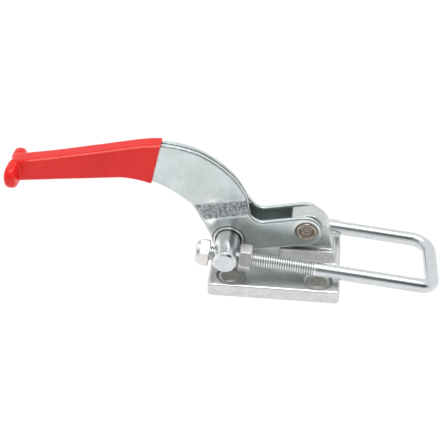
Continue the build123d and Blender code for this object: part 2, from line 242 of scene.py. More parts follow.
def weighted(obj, width=None, segments=3, angle=28):
    """Small bevels on the sharp edges, and flat faces kept flat in the shading."""
    if width:
        b = obj.modifiers.new("edges", "BEVEL")
        b.width = width * MM
        b.segments = segments
        b.limit_method = "ANGLE"
        b.angle_limit = radians(angle)
    w = obj.modifiers.new("normals", "WEIGHTED_NORMAL")
    w.weight = 60
    w.keep_sharp = False
    return obj


def leg_frame(s, y):
    """Origin, across, up and forward directions at distance s along a leg."""
    t = radians(TILT)
    w = np.array((cos(t), 0, -sin(t)))
    o = np.array((SHAFT[0] + w[0] * s, y + SIDE_FLOAT, SHAFT[1] + w[2] * s))
    return o, np.array((0, 1.0, 0)), np.array((sin(t), 0, cos(t))), w


def arc(cx, cy, r, a0, a1, n):
    return [(cx + r * cos(radians(a0 + (a1 - a0) * i / n)),
             cy + r * sin(radians(a0 + (a1 - a0) * i / n))) for i in range(n + 1)]


# ------------------------------------------------------------------ materials
class Nodes:
    """A little shorthand for building a material."""

    def __init__(self, name):
        self.mat = bpy.data.materials.new(name)
        self.mat.use_nodes = True
        self.t = self.mat.node_tree
        self.t.nodes.clear()
        self.out = self.t.nodes.new("ShaderNodeOutputMaterial")
        self.b = self.t.nodes.new("ShaderNodeBsdfPrincipled")
        self.t.links.new(self.b.outputs[0], self.out.inputs[0])
        self.co = self.t.nodes.new("ShaderNodeTexCoord").outputs["Object"]

    def put(self, socket, value):
        if hasattr(value, "is_output") or hasattr(value, "links"):
            self.t.links.new(value, socket)
        else:
            socket.default_value = value

    def new(self, kind, **props):
        n = self.t.nodes.new(kind)
        for k, v in props.items():
            setattr(n, k, v)
        return n

    def math(self, op, a, b=None, c=None, clamp=False):
        n = self.new("ShaderNodeMath", operation=op, use_clamp=clamp)
        self.put(n.inputs[0], a)
        if b is not None:
            self.put(n.inputs[1], b)
        if c is not None:
            self.put(n.inputs[2], c)
        return n.outputs[0]

    def scaled(self, sx, sy, sz, vec=None, rot=None):
        n = self.new("ShaderNodeMapping")
        self.put(n.inputs["Vector"], vec or self.co)
        n.inputs["Scale"].default_value = (sx, sy, sz)
        if rot:
            n.inputs["Rotation"].default_value = rot
        return n.outputs[0]

    def noise(self, size_mm, detail=3.0, rough=0.5, vec=None, distortion=0.0):
        n = self.new("ShaderNodeTexNoise")
        self.put(n.inputs["Vector"], vec or self.co)
        n.inputs["Scale"].default_value = 1.0 / (size_mm * MM)
        n.inputs["Detail"].default_value = detail
        n.inputs["Roughness"].default_value = rough
        n.inputs["Distortion"].default_value = distortion
        return n.outputs["Fac"]

    def voronoi(self, size_mm, vec=None, feature="F1", out="Distance", rand=1.0):
        n = self.new("ShaderNodeTexVoronoi", feature=feature)
        self.put(n.inputs["Vector"], vec or self.co)
        n.inputs["Scale"].default_value = 1.0 / (size_mm * MM)
        n.inputs["Randomness"].default_value = rand
        return n.outputs[out]

    def ramp(self, fac, stops, smooth=True):
        n = self.new("ShaderNodeValToRGB")
        r = n.color_ramp
        r.interpolation = "EASE" if smooth else "LINEAR"
        while len(r.elements) > 1:
            r.elements.remove(r.elements[-1])
        for i, (p, c) in enumerate(stops):
            e = r.elements[0] if i == 0 else r.elements.new(p)
            e.position = p
            c = (c, c, c) if isinstance(c, (int, float)) else c
            e.color = (c[0], c[1], c[2], 1)
        self.put(n.inputs[0], fac)
        return n.outputs[0]

    def map(self, v, a, b, c, d):
        n = self.new("ShaderNodeMapRange", clamp=True)
        self.put(n.inputs[0], v)
        for i, x in enumerate((a, b, c, d)):
            self.put(n.inputs[i + 1], x)
        return n.outputs[0]

    def mix(self, fac, a, b, blend="MIX"):
        n = self.new("ShaderNodeMix", data_type="RGBA", blend_type=blend)
        self.put(n.inputs[0], fac)
        for sock, v in ((n.inputs[6], a), (n.inputs[7], b)):
            if isinstance(v, tuple) and len(v) == 3:
                v = (v[0], v[1], v[2], 1)
            self.put(sock, v)
        return n.outputs[2]

    def attr(self, name):
        n = self.new("ShaderNodeAttribute", attribute_name=name)
        return n.outputs["Fac"]

    def pointy(self):
        return self.new("ShaderNodeNewGeometry").outputs["Pointiness"]

    def normal_axis(self, i):
        """Absolute component i of the object-space normal."""
        tc = self.new("ShaderNodeTexCoord")
        s = self.new("ShaderNodeSeparateXYZ")
        self.put(s.inputs[0], tc.outputs["Normal"])
        return self.math("ABSOLUTE", s.outputs[i])

    def bump(self, height, strength, distance_mm, normal=None):
        n = self.new("ShaderNodeBump")
        n.inputs["Strength"].default_value = strength
        n.inputs["Distance"].default_value = distance_mm * MM
        self.put(n.inputs["Height"], height)
        if normal is not None:
            self.put(n.inputs["Normal"], normal)
        return n.outputs[0]

    def set(self, **kw):
        names = {"base": "Base Color", "rough": "Roughness", "metal": "Metallic", "normal": "Normal",
                 "coat": "Coat Weight", "coat_rough": "Coat Roughness", "ior": "IOR",
                 "spec": "Specular IOR Level", "sss": "Subsurface Weight", "aniso": "Anisotropic"}
        for k, v in kw.items():
            s = self.b.inputs[names[k]]
            if isinstance(v, tuple) and len(v) == 3:
                v = (v[0], v[1], v[2], 1)
            self.put(s, v)
        return self


def scratches(m, size_mm, rot, stretch=28.0, thin=0.035):
    """Fine straight scratches: the crests of a long, thin noise."""
    v = m.scaled(1.0, stretch, stretch, rot=rot)
    n = m.noise(size_mm * stretch, 2.0, 0.6, vec=v)
    d = m.math("ABSOLUTE", m.math("SUBTRACT", n, 0.5))
    return m.map(d, 0.0, thin, 1.0, 0.0)


def metal(name, tone, rough, mottling=0.10, peel=0.25, peel_mm=0.8, fine=0.10, pit=0.0,
          rough_var=0.10, scratch=0.35, dark=None, edge=0.0, cut_marks=False, root=False,
          line=0.0, lift=None, metallic=1.0, bush=False, rim=False):
    """Zinc-plated steel: soft cloudy colour, orange peel, fine grain, scratches."""
    m = Nodes(name)
    cloud = m.noise(9.0, 4.0, 0.55)
    cloud2 = m.noise(2.4, 3.0, 0.6, distortion=0.4)
    fac = m.math("ADD", m.math("MULTIPLY", cloud, 0.6), m.math("MULTIPLY", cloud2, 0.4))
    low = tuple(c * (1 - mottling) for c in tone)
    high = tuple(min(1.0, c * (1 + mottling * 0.6)) for c in tone)
    col = m.ramp(fac, [(0.30, low), (0.70, high)])
    # faint yellow and blue cast of the passivation
    tint = m.noise(14.0, 2.0, 0.5)
    col = m.mix(m.map(tint, 0.35, 0.65, 0.0, 0.30), col,
                m.mix(1.0, col, (0.97, 1.0, 1.03), "MULTIPLY"))
    sc = m.math("MAXIMUM", scratches(m, 0.16, (0.0, 0.1, 0.35)), scratches(m, 0.22, (0.4, 0.2, -0.8)))
    sc = m.math("MULTIPLY", sc, m.map(m.noise(5.0, 2.0), 0.5, 0.68, 0.0, 1.0))
    r = m.math("ADD", rough - rough_var / 2, m.math("MULTIPLY", m.noise(3.5, 4.0, 0.6), rough_var))
    r = m.math("ADD", r, m.math("MULTIPLY", sc, 0.12 * scratch), clamp=True)
    grain = m.noise(0.22, 3.0, 0.65)
    h = m.math("MULTIPLY", m.noise(peel_mm, 2.0, 0.5), 1.0)
    nrm = m.bump(h, peel, 0.06)
    nrm = m.bump(grain, fine, 0.02, nrm)
    nrm = m.bump(sc, 0.10 * scratch, 0.02, nrm)
    if pit:
        v = m.voronoi(1.6)
        p = m.map(v, 0.0, 0.22, 1.0, 0.0)
        p = m.math("MULTIPLY", p, m.map(m.noise(6.0, 1.0), 0.5, 0.62, 0.0, 1.0))
        nrm = m.bump(m.math("MULTIPLY", p, -1.0), pit, 0.08, nrm)
        col = m.mix(m.math("MULTIPLY", p, 0.5), col, tuple(c * 0.35 for c in tone))
    if cut_marks:
        # the joggle's stretched skin is coarse
        nz, ny = m.normal_axis(2), m.normal_axis(1)
        band = m.math("MULTIPLY", m.map(nz, 0.42, 0.55, 0.0, 1.0), m.map(nz, 0.62, 0.75, 1.0, 0.0))
        band = m.math("MULTIPLY", band, m.map(ny, 0.70, 0.78, 0.0, 1.0))
        coarse = m.noise(1.3, 2.0, 0.6)
        nrm = m.bump(m.math("MULTIPLY", coarse, band), 1.0, 0.38, nrm)
        speck = m.map(m.noise(1.35, 3.0, 0.7), 0.38, 0.62, 0.50, 1.35)
        shade = m.math("ADD", 1.0, m.math("MULTIPLY", band, m.math("SUBTRACT", m.math("MULTIPLY", speck, 0.92), 1.0)))
        grey = m.new("ShaderNodeCombineXYZ")
        for i in range(3):
            m.put(grey.inputs[i], m.math("MULTIPLY", shade, m.math("ADD", 1.0, m.math("MULTIPLY", band, (0.04, -0.03, 0.0)[i]))))
        col = m.mix(1.0, col, grey.outputs[0], "MULTIPLY")
        # sheared edges carry marks that run across the thickness
        edge_face = m.map(ny, 0.30, 0.50, 1.0, 0.0)
        marks = m.noise(0.45, 3.0, 0.6, vec=m.scaled(1.0, 0.10, 1.0))
        nrm = m.bump(m.math("MULTIPLY", marks, edge_face), 0.30, 0.06, nrm)
        r = m.math("ADD", r, m.math("MULTIPLY", edge_face, 0.06))
        # the arms' inside faces, darkened as painted shade
        sep = m.new("ShaderNodeSeparateXYZ")
        m.put(sep.inputs[0], m.co)
        ay = m.math("ABSOLUTE", sep.outputs[1])
        inside = m.math("MULTIPLY", m.map(ay, 0.00465, 0.00475, 0.0, 1.0), m.map(ay, 0.00490, 0.00505, 1.0, 0.0))
        col = m.mix(m.math("MULTIPLY", inside, 0.35), col, (0.20, 0.25, 0.25))
        # a painted dark ring of shadow round the bush, and a painted highlight ring just outside it
        dx = m.math("SUBTRACT", sep.outputs[0], SHAFT[0] * MM)
        dz = m.math("SUBTRACT", sep.outputs[2], SHAFT[1] * MM)
        rr = m.math("SQRT", m.math("ADD", m.math("MULTIPLY", dx, dx), m.math("MULTIPLY", dz, dz)))
        outer_face = m.map(ay, 0.0076, 0.0077, 0.0, 1.0)
        ring = m.math("MULTIPLY", m.map(rr, 0.0080, 0.0084, 0.0, 1.0), m.map(rr, 0.0088, 0.0092, 1.0, 0.0))
        col = m.mix(m.math("MULTIPLY", m.math("MULTIPLY", ring, outer_face), 0.75), col, (0.09, 0.095, 0.08))
        ring = m.math("MULTIPLY", m.map(rr, 0.0091, 0.0094, 0.0, 1.0), m.map(rr, 0.0098, 0.0102, 1.0, 0.0))
        col = m.mix(m.math("MULTIPLY", m.math("MULTIPLY", ring, outer_face), 0.5), col, (0.86, 0.87, 0.78))
        # painted highlight on the upper part of the raised ring round the rivet, and painted shadow on the arm just
        # outside the rivet's rim, heaviest above it
        dx = m.math("SUBTRACT", sep.outputs[0], PIVOT[0] * MM)
        dz = m.math("SUBTRACT", sep.outputs[2], PIVOT[1] * MM)
        rr = m.math("SQRT", m.math("ADD", m.math("MULTIPLY", dx, dx), m.math("MULTIPLY", dz, dz)))
        above = m.math("MULTIPLY", outer_face, m.map(dz, -0.0030, 0.0015, 0.0, 1.0))
        ring = m.math("MULTIPLY", m.map(rr, 0.0060, 0.0064, 0.0, 1.0), m.map(rr, 0.0076, 0.0092, 1.0, 0.0))
        ring = m.math("MULTIPLY", ring, m.map(m.noise(2.0, 3.0), 0.3, 0.7, 0.30, 0.55))
        col = m.mix(m.math("MULTIPLY", ring, above), col, (0.93, 0.93, 0.92))
        ring = m.map(rr, 0.0060, 0.0065, 1.0, 0.0)
        above = m.math("MULTIPLY", outer_face, m.map(dz, -0.0040, 0.0010, 0.25, 0.92))
        col = m.mix(m.math("MULTIPLY", ring, above), col, (0.04, 0.04, 0.035))
    if line:
        # dark line painted where the sheared edge meets the face
        g = m.math("MULTIPLY", m.attr("line"), m.map(m.noise(2.5, 3.0), 0.3, 0.7, 0.75 * line, line))
        col = m.mix(g, col, (0.070, 0.072, 0.070))
    metal_w = metallic
    if bush:
        # painted shade on the bush's inner part, for the shadowed gap round the shaft
        sep = m.new("ShaderNodeSeparateXYZ")
        m.put(sep.inputs[0], m.co)
        dx = m.math("SUBTRACT", sep.outputs[0], SHAFT[0] * MM)
        dz = m.math("SUBTRACT", sep.outputs[2], SHAFT[1] * MM)
        rr = m.math("SQRT", m.math("ADD", m.math("MULTIPLY", dx, dx), m.math("MULTIPLY", dz, dz)))
        col = m.mix(m.map(rr, 0.00715, 0.00735, 0.9, 0.0), col, (0.055, 0.06, 0.055))
    if rim:
        # painted shadow on the outside wall of the rolled rim
        sep = m.new("ShaderNodeSeparateXYZ")
        m.put(sep.inputs[0], m.co)
        dx = m.math("SUBTRACT", sep.outputs[0], PIVOT[0] * MM)
        dz = m.math("SUBTRACT", sep.outputs[2], PIVOT[1] * MM)
        rr = m.math("SQRT", m.math("ADD", m.math("MULTIPLY", dx, dx), m.math("MULTIPLY", dz, dz)))
        rim_shade = m.math("MULTIPLY", m.map(rr, 0.00525, 0.00545, 0.0, 1.0), m.map(m.normal_axis(1), 0.25, 0.55, 1.0, 0.0))
        col = m.mix(m.math("MULTIPLY", rim_shade, 0.75), col, (0.10, 0.075, 0.06))
    if lift is not None:
        col = m.mix(m.attr("lift"), col, lift)
        metal_w = m.map(m.attr("lift"), 0.0, 1.0, 1.0, 0.76)
    if root:
        # painted shade in the roots of the thread
        g = m.math("MULTIPLY", m.attr("root"), m.map(m.noise(6.0, 2.0), 0.3, 0.7, 0.42, 0.60))
        col = m.mix(g, col, (0.13, 0.14, 0.135))
    if dark is not None:
        # painted shade in hollows, where the surface is concave
        cav = m.map(m.pointy(), 0.40, 0.49, 1.0, 0.0)
        col = m.mix(m.math("MULTIPLY", cav, dark), col, tuple(c * 0.25 for c in tone))
    if edge:
        e = m.map(m.pointy(), 0.52, 0.60, 0.0, 1.0)
        e = m.math("MULTIPLY", e, m.map(m.noise(1.5, 3.0), 0.35, 0.65, 0.3, 1.0))
        col = m.mix(m.math("MULTIPLY", e, edge), col, tuple(min(1, c * 1.25) for c in tone))
        r = m.math("SUBTRACT", r, m.math("MULTIPLY", e, 0.08 * edge))
    m.set(base=col, rough=r, metal=metal_w, normal=nrm)
    return m.mat


def mat_forged():
    m = Nodes("forged_plated")
    tone = (0.69, 0.705, 0.69)
    cloud = m.noise(7.0, 4.0, 0.6)
    cloud2 = m.noise(1.8, 3.0, 0.6, distortion=0.5)
    fac = m.math("ADD", m.math("MULTIPLY", cloud, 0.55), m.math("MULTIPLY", cloud2, 0.45))
    col = m.ramp(fac, [(0.30, tuple(c * 0.84 for c in tone)), (0.70, tuple(c * 1.06 for c in tone))])
    skin = m.noise(1.1, 5.0, 0.6)
    dimple = m.voronoi(2.2, feature="SMOOTH_F1")
    h = m.math("ADD", m.math("MULTIPLY", skin, 0.8), m.math("MULTIPLY", dimple, 0.5))
    # the pedestal's sides have their shading normals tilted well upward, so they take more of the overhead light
    sep = m.new("ShaderNodeSeparateXYZ")
    m.put(sep.inputs[0], m.co)
    side = m.map(m.math("ABSOLUTE", sep.outputs[1]), 0.00745, 0.00765, 0.0, 1.0)
    side = m.math("MULTIPLY", side, m.map(m.math("ABSOLUTE", sep.outputs[1]), 0.00800, 0.00830, 1.0, 0.0))
    side = m.math("MULTIPLY", side, m.map(sep.outputs[2], 0.0082, 0.0092, 0.0, 1.0))
    side = m.math("MULTIPLY", side, m.map(m.normal_axis(1), 0.6, 0.8, 0.0, 1.0))
    lean = m.new("ShaderNodeCombineXYZ")
    m.put(lean.inputs[2], m.math("MULTIPLY", side, 1.10))
    tilt = m.new("ShaderNodeVectorMath", operation="ADD")
    m.put(tilt.inputs[0], m.new("ShaderNodeNewGeometry").outputs["Normal"])
    m.put(tilt.inputs[1], lean.outputs[0])
    unit = m.new("ShaderNodeVectorMath", operation="NORMALIZE")
    m.put(unit.inputs[0], tilt.outputs[0])
    nrm = m.bump(h, 0.28, 0.10, unit.outputs[0])
    nrm = m.bump(m.noise(0.25, 3.0, 0.65), 0.12, 0.03, nrm)
    v = m.voronoi(1.9)
    p = m.map(v, 0.0, 0.20, 1.0, 0.0)
    p = m.math("MULTIPLY", p, m.map(m.noise(5.0, 1.0), 0.52, 0.60, 0.0, 1.0))
    nrm = m.bump(m.math("MULTIPLY", p, -1.0), 0.5, 0.12, nrm)
    col = m.mix(m.math("MULTIPLY", p, 0.45), col, (0.20, 0.20, 0.19))
    # painted shade in hollows, where the surface is concave
    cav = m.map(m.pointy(), 0.40, 0.48, 1.0, 0.0)
    col = m.mix(m.math("MULTIPLY", cav, 0.55), col, (0.20, 0.20, 0.19))
    e = m.map(m.pointy(), 0.53, 0.60, 0.0, 1.0)
    e = m.math("MULTIPLY", e, m.map(m.noise(1.6, 3.0), 0.35, 0.65, 0.35, 1.0))
    col = m.mix(m.math("MULTIPLY", e, 0.5), col, (0.76, 0.77, 0.76))
    r = m.math("ADD", 0.27, m.math("MULTIPLY", m.noise(2.6, 4.0, 0.6), 0.14))
    r = m.math("SUBTRACT", r, m.math("MULTIPLY", e, 0.04))
    # and are coarse and pale
    lump = m.noise(1.15, 3.0, 0.6)
    nrm = m.bump(m.math("MULTIPLY", lump, side), 0.9, 0.42, nrm)
    pale = m.ramp(m.noise(1.3, 4.0, 0.7), [(0.34, (0.66, 0.65, 0.66)), (0.48, (0.95, 0.94, 0.95)), (0.60, (1.0, 1.0, 1.0))])
    col = m.mix(side, col, pale)
    r = m.math("ADD", r, m.math("MULTIPLY", side, 0.10), clamp=True)
    # painted shade on the ledges under the arms' lower edges
    ledge = m.math("MULTIPLY", m.map(sep.outputs[2], 0.0152, 0.0155, 0.0, 1.0), m.map(sep.outputs[2], 0.0163, 0.0168, 1.0, 0.0))
    ledge = m.math("MULTIPLY", ledge, m.map(m.math("ABSOLUTE", sep.outputs[1]), 0.0079, 0.0077, 0.0, 1.0))
    ledge = m.math("MULTIPLY", ledge, m.map(m.normal_axis(2), 0.25, 0.45, 0.0, 1.0))
    col = m.mix(m.math("MULTIPLY", ledge, 0.35), col, (0.20, 0.21, 0.21))
    # the flanges' top faces are lighter towards their long edges, and the nose's upward faces darker
    flange_edge_pale = m.math("MULTIPLY", m.map(m.math("ABSOLUTE", sep.outputs[1]), 0.0255, 0.0295, 0.0, 0.55), m.map(m.normal_axis(2), 0.8, 0.95, 0.0, 1.0))
    flange_edge_pale = m.math("MULTIPLY", flange_edge_pale, m.map(m.noise(5.0, 3.0), 0.3, 0.7, 0.6, 1.0))
    col = m.mix(flange_edge_pale, col, (0.97, 0.98, 0.98))
    nose = m.math("MULTIPLY", m.map(sep.outputs[2], 0.0300, 0.0340, 0.0, 1.0), m.map(m.normal_axis(2), 0.3, 0.7, 0.0, 0.30))
    col = m.mix(nose, col, (0.36, 0.40, 0.39))
    # dull olive skin left in the holes' bores
    for i, (hx, hy) in enumerate(((-0.023, -0.0225), (0.023, -0.0225), (-0.023, 0.0225), (0.023, 0.0225))):
        dx = m.math("SUBTRACT", sep.outputs[0], hx)
        dy = m.math("SUBTRACT", sep.outputs[1], hy)
        d = m.math("SQRT", m.math("ADD", m.math("MULTIPLY", dx, dx), m.math("MULTIPLY", dy, dy)))
        wall = m.map(d, 0.0047, 0.0050, 1.0, 0.0)
        bore = wall if i == 0 else m.math("MAXIMUM", bore, wall)
        rimz = m.math("MULTIPLY", m.map(d, 0.0063, 0.0066, 0.0, 1.0), m.map(d, 0.0074, 0.0078, 1.0, 0.0))
        seat = rimz if i == 0 else m.math("MAXIMUM", seat, rimz)
    seat = m.math("MULTIPLY", seat, m.map(sep.outputs[2], 0.0068, 0.0070, 0.0, 1.0))
    col = m.mix(m.math("MULTIPLY", bore, 0.45), col, m.ramp(m.noise(1.4, 3.0), [(0.35, (0.42, 0.42, 0.34)), (0.65, (0.72, 0.71, 0.60))]))
    # painted shade on the sloping walls of the holes' shallow dishes
    col = m.mix(m.math("MULTIPLY", seat, 0.35), col, (0.13, 0.13, 0.11))
    metal_w = m.math("SUBTRACT", m.map(side, 0.0, 1.0, 0.90, 0.0), m.math("MULTIPLY", bore, 0.55))
    r = m.math("ADD", r, m.math("MULTIPLY", bore, 0.2), clamp=True)
    m.set(base=col, rough=r, metal=metal_w, normal=nrm)
    return m.mat


def mat_vinyl():
    m = Nodes("grip_vinyl")
    red = (0.80, 0.012, 0.010)
    cloud = m.noise(16.0, 3.0, 0.5)
    col = m.ramp(cloud, [(0.3, tuple(c * 0.94 for c in red)), (0.7, (0.85, 0.015, 0.012))])
    # dusty bloom in patches and a paler rub along the edges
    dust = m.math("MULTIPLY", m.map(m.noise(4.0, 5.0, 0.7), 0.55, 0.8, 0.0, 1.0), 0.10)
    col = m.mix(dust, col, (0.80, 0.16, 0.13))
    e = m.map(m.pointy(), 0.53, 0.62, 0.0, 1.0)
    col = m.mix(m.math("MULTIPLY", e, 0.12), col, (0.85, 0.12, 0.10))
    # painted highlight along the long upper edges
    nz, ny = m.normal_axis(2), m.normal_axis(1)
    ridge = m.math("MULTIPLY", m.map(nz, 0.35, 0.58, 0.0, 1.0), m.map(nz, 0.76, 0.93, 1.0, 0.0))
    ridge = m.math("MULTIPLY", ridge, m.map(ny, 0.30, 0.48, 0.0, 1.0))
    sep = m.new("ShaderNodeSeparateXYZ")
    m.put(sep.inputs[0], m.co)
    ridge = m.math("MULTIPLY", ridge, m.map(sep.outputs[0], -0.1330, -0.1290, 0.0, 1.0))
    ridge = m.math("MULTIPLY", ridge, m.map(m.noise(6.0, 2.0), 0.3, 0.7, 0.75, 1.0))
    # painted shade: the upward faces are a darker red
    col = m.mix(m.map(nz, 0.92, 0.98, 0.0, 1.0), col, (0.72, 0.009, 0.004))
    col = m.mix(ridge, col, (1.0, 0.200, 0.165))
    h = m.math("ADD", m.math("MULTIPLY", m.noise(2.8, 3.0, 0.5), 1.0), m.math("MULTIPLY", m.noise(0.5, 2.0, 0.5), 0.16))
    nrm = m.bump(h, 0.20, 0.12)
    nrm = m.bump(m.noise(0.12, 2.0, 0.6), 0.05, 0.02, nrm)
    sc = m.math("MULTIPLY", scratches(m, 0.3, (0.1, 0.25, 0.9), stretch=18, thin=0.02), m.map(m.noise(7.0, 2.0), 0.52, 0.66, 0.0, 1.0))
    nrm = m.bump(m.math("MULTIPLY", sc, -1.0), 0.15, 0.03, nrm)
    r = m.math("ADD", 0.17, m.math("MULTIPLY", m.noise(5.0, 4.0, 0.6), 0.12))
    r = m.math("ADD", r, m.math("MULTIPLY", sc, 0.1))
    m.set(base=col, rough=r, metal=0.0, normal=nrm, ior=1.46, spec=0.42)
    return m.mat


def mat_nylon():
    m = Nodes("nylon")
    col = m.ramp(m.noise(2.0, 3.0, 0.6), [(0.3, (0.70, 0.69, 0.62)), (0.7, (0.80, 0.79, 0.73))])
    nrm = m.bump(m.noise(0.3, 3.0, 0.6), 0.15, 0.03)
    r = m.math("ADD", 0.40, m.math("MULTIPLY", m.noise(1.2, 3.0), 0.15))
    m.set(base=col, rough=r, metal=0.0, normal=nrm, sss=0.1)
    return m.mat


MATS = {
    "forged_plated": mat_forged(),
    "sheet_plated": metal("sheet_plated", (0.620, 0.672, 0.668), 0.30, mottling=0.12, peel=0.22, peel_mm=1.6,
                          fine=0.10, pit=0.12, rough_var=0.14, edge=0.35, dark=0.45, cut_marks=True, line=0.90, metallic=0.92),
    "bright_steel": metal("bright_steel", (0.655, 0.675, 0.685), 0.17, mottling=0.07, peel=0.12, peel_mm=1.2,
                          fine=0.06, rough_var=0.08, edge=0.2, dark=0.35, root=True, lift=(0.86, 0.88, 0.88)),
    "nut_steel": metal("nut_steel", (0.80, 0.775, 0.755), 0.33, mottling=0.14, peel=0.22, peel_mm=0.9,
                       fine=0.12, rough_var=0.12, edge=0.35, dark=0.5),
    "bush_steel": metal("bush_steel", (0.84, 0.85, 0.82), 0.24, mottling=0.14, peel=0.2, peel_mm=0.7, edge=0.3, bush=True),
    "rivet_copper": metal("rivet_copper", (0.42, 0.355, 0.30), 0.30, mottling=0.24, peel=0.3, peel_mm=0.7,
                          fine=0.18, rough_var=0.14, edge=0.45, dark=0.5, rim=True),
    "grip_vinyl": mat_vinyl(),
    "nylon": mat_nylon(),
}


def finish_piece(obj, body, slot, *nodes):
    obj.data.materials.clear()
    obj.data.materials.append(MATS[slot])
    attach(obj, body)
    if nodes:
        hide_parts(*nodes)
    return obj


# ------------------------------------------------------------------ base
def make_base():
    obj = softened("base_forging", "base", 0.42, 4, tol=0.04)
    me = obj.data
    co, nr = coords(me), normals_of(me)
    # forged skin: slow unevenness and a fine grain, none on the sawn underside
    amp = 0.045 * fbm(co, 5.0, 1, 2) + 0.020 * fbm(co, 1.3, 2, 2)
    z = co[:, 2] / MM
    amp *= smoothstep(0.05, 0.8, z)
    hole = np.ones(len(co))
    for hx in (-23.0, 23.0):
        for hy in (-22.5, 22.5):
            d = np.hypot(co[:, 0] / MM - hx, co[:, 1] / MM - hy)
            hole = np.minimum(hole, smoothstep(7.4, 8.4, d))
    amp *= 0.25 + 0.75 * hole
    # the reamed bore in the nose is smooth
    amp *= smoothstep(5.0, 5.8, np.hypot(co[:, 0] / MM - PIVOT[0], z - PIVOT[1]))
    # faces that the arms run beside stay flat
    run = (np.abs(np.abs(co[:, 1] / MM) - 4.7) < 0.3) & (z > 16)
    amp[run] *= 0.15
    co += nr * (amp * MM)[:, None]
    co[:, 2] = np.maximum(co[:, 2], 0)
    set_coords(me, co)
    return finish_piece(obj, "base", "forged_plated", "base")


# ------------------------------------------------------------------ handle
def make_plates():
    def outline(p):
        """Away from the two cross holes and their seats."""
        d1 = np.hypot(p[:, 0] - PIVOT[0], p[:, 2] - PIVOT[1])
        d2 = np.hypot(p[:, 0] - SHAFT[0], p[:, 2] - SHAFT[1])
        keep = smoothstep(6.2, 7.2, d1) * smoothstep(8.2, 8.8, d2)
        near_edge = smoothstep(1.9, 1.1, edge_distance("handle_plate_near", p * MM))
        return keep * near_edge

    near = softened("handle_plate_near_sheet", "handle_plate_near", 0.34, 3, tol=0.03, extra=14, where=outline)
    me = near.data
    co = coords(me)
    # ring that the riveting raised on the arm's outside face
    d = np.hypot(co[:, 0] / MM - PIVOT[0], co[:, 2] / MM - PIVOT[1])
    out = smoothstep(7.3, 7.7, -co[:, 1] / MM)
    lift = 0.14 * (1 - smoothstep(6.6, 7.3, d))
    co[:, 1] -= lift * out * MM
    set_coords(me, co)
    # dark line along the sheared edges, heaviest on the upper ones
    d = edge_distance("handle_plate_near", co)
    up = smoothstep(-0.15, 0.25, normals_of(me)[:, 2])
    d1 = np.hypot(co[:, 0] / MM - PIVOT[0], co[:, 2] / MM - PIVOT[1])
    d2 = np.hypot(co[:, 0] / MM - SHAFT[0], co[:, 2] / MM - SHAFT[1])
    mark = smoothstep(0.85, 0.40, d) * (0.25 + 0.75 * up) * smoothstep(6.2, 7.2, d1) * smoothstep(7.9, 8.3, d2)
    at = me.attributes.new("line", "FLOAT", "POINT")
    at.data.foreach_set("value", mark.astype(np.float32))
    far = link(bpy.data.objects.new("handle_plate_far_sheet", me.copy()))
    co2 = coords(far.data)
    co2[:, 1] *= -1
    set_coords(far.data, co2)
    far.data.flip_normals()
    finish_piece(near, "handle", "sheet_plated", "handle_plate_near")
    finish_piece(far, "handle", "sheet_plated", "handle_plate_far")


def make_pivot_rivet():
    yo = ARM_OUT
    top = yo + RIM_H
    half = []
    floor_y = top - RIM_HOLE_DEPTH
    half += [(0.0, floor_y + 0.62), (0.45, floor_y + 0.60), (0.80, floor_y + 0.45), (1.05, floor_y + 0.12), (1.30, floor_y + 0.03)]
    half += [(1.75, floor_y + 0.02), (2.00, floor_y + 0.12), (2.25, floor_y + 0.40), (2.55, floor_y + 0.46), (2.80, floor_y + 0.38)]
    half += [(3.02, floor_y + 0.10), (3.18, floor_y + 0.03), (3.32, floor_y + 0.10), (3.42, floor_y + 0.30), (3.52, top - 0.85)]
    # rolled lip
    lip = arc(4.62, top - 0.98, 0.98, 172, 12, 14)
    half += lip
    half += [(5.72, top - 0.98), (5.66, yo + 0.02), (5.2, yo - 0.15), (4.75, yo - 0.3), (4.75, 4.86), (4.60, 4.74)]
    prof = [(r, y) for r, y in half]
    prof += [(r, -y) for r, y in reversed(half)]

    def wobble(a, j, r, y):
        if r < 3.2:
            return 0
        return 0.035 * sin(3 * a + (1.3 if y > 0 else 0.2)) + 0.02 * sin(7 * a + 2.1)

    obj = lathe_y("pivot_rivet_rolled", PIVOT, prof, 96, wobble)
    return finish_piece(obj, "handle", "rivet_copper", "pivot_rivet")


def make_grip():
    obj = softened("grip_sleeve", "grip", 0.45, 6, tol=0.02)
    me = obj.data
    co, nr = coords(me), normals_of(me)
    # dipped vinyl: slightly uneven thickness
    amp = 0.07 * fbm(co, 11.0, 5, 2)
    # dimple over a rivet
    d = np.hypot(co[:, 0] / MM + 112.0, co[:, 2] / MM - 62.0)
    near = smoothstep(3.6, 4.1, -co[:, 1] / MM)
    amp -= 0.60 * (1 - smoothstep(0.3, 2.6, d)) * near
    outer = smoothstep(3.3, 3.7, np.abs(co[:, 1]) / MM)
    co += nr * (amp * np.maximum(outer, 0.0) * MM)[:, None]
    set_coords(me, co)
    return finish_piece(obj, "handle", "grip_vinyl", "grip")


# ------------------------------------------------------------------ shaft and bushes
def make_shaft():
    obj = softened("cross_shaft", "trunnion_shaft", 0.27, 3, tol=0.03)
    at = obj.data.attributes.new("lift", "FLOAT", "POINT")
    nr = normals_of(obj.data)
    # the turned round side is lighter and less metallic than the faced ends; the side facing the nuts is left out and
    # stays darker, as painted shade
    lift = smoothstep(0.97, 0.90, np.abs(nr[:, 1])) * (0.02 + 0.98 * smoothstep(0.35, 0.05, nr[:, 0]))
    at.data.foreach_set("value", lift.astype(np.float32))
    return finish_piece(obj, "trunnion", "bright_steel", "trunnion_shaft")


